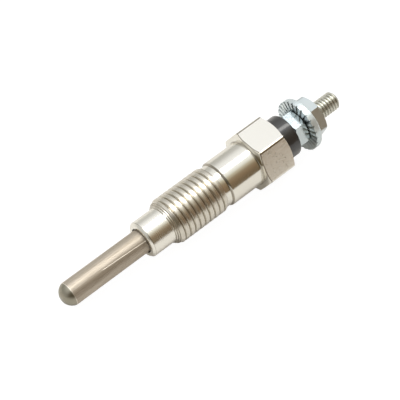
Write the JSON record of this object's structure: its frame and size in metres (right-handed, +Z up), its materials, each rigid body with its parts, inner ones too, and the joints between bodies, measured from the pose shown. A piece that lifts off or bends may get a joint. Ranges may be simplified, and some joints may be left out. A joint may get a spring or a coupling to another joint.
{
  "type": "diesel glow plug",
  "caption": "Slim diesel glow plug: closed heater sheath in a threaded, plated steel body with a spanner hexagon, black insulating bush, lock nut, serrated flange nut and terminal stud.",
  "frame": {"origin": "on the floor, below the middle of the plug as it lies on a flat of its hexagon and the front of its thread", "axes": "+X along the plug from the heater tip to the terminal stud, which rises 2.7 degrees that way, and +Z up"},
  "size_m": [0.071, 0.0138, 0.0124],
  "materials": {
    "bright_nickel": "bright nickel plate on turned steel",
    "heater_alloy": "satin, drawn and annealed heat-resisting alloy",
    "resistance_wire": "dull oxidised wire",
    "packed_powder": "packed white powder",
    "terminal_steel": "plated, rolled thread",
    "seal_rubber": "matte",
    "black_phenolic": "satin moulded",
    "white_zinc": "blue-white zinc plate"
  },
  "bodies": {
    "root": {"housing": "bright_nickel", "heater_sheath": "heater_alloy", "heating_coil": "resistance_wire", "control_coil": "resistance_wire", "magnesia_fill": "packed_powder", "centre_rod": "terminal_steel", "sheath_seal": "seal_rubber", "body_seal": "seal_rubber", "insulating_bush": "black_phenolic", "lock_nut": "white_zinc", "terminal_nut": "white_zinc"}
  },
  "joints": []
}
